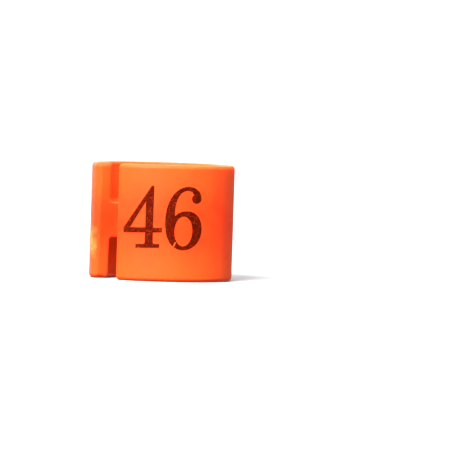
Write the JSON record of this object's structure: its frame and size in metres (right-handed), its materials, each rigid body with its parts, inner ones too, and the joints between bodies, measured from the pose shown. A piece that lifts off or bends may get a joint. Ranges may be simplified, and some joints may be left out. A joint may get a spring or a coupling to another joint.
{
  "type": "numbered clip-on leg band",
  "caption": "Short split cylinder of springy plastic with a slotted web across its middle; opens at its slit and clips round a leg or rod.",
  "frame": {"origin": "on the band's axis, at the plane of its lower rim", "axes": "+Z along the band's axis, upwards; the number faces -Y; the slit opens at 220 degrees from +X"},
  "size_m": [0.0181, 0.0181, 0.0146],
  "materials": {
    "orange_plastic": "satin moulded polypropylene, bright orange",
    "print_ink": "dark brown print, slightly speckled"
  },
  "bodies": {
    "back": {"back_spring": "orange_plastic"},
    "front_jaw": {"front_jaw_wall": "orange_plastic", "front_grip_web": "orange_plastic", "numeral_4": "print_ink", "numeral_6": "print_ink"},
    "rear_jaw": {"rear_jaw_wall": "orange_plastic", "rear_grip_web": "orange_plastic"}
  },
  "joints": [
    {"name": "front_jaw_flex", "type": "hinge", "parent": "back", "child": "front_jaw", "pos_m": [0.00693, 0.004, 0.00728], "axis": [0, 0, 1], "range_deg": [-4, 8], "stiffness_Nm_per_rad": 3},
    {"name": "rear_jaw_flex", "type": "hinge", "parent": "back", "child": "rear_jaw", "pos_m": [0.00514, 0.00613, 0.00728], "axis": [0, 0, -1], "range_deg": [-4, 8], "stiffness_Nm_per_rad": 3}
  ]
}
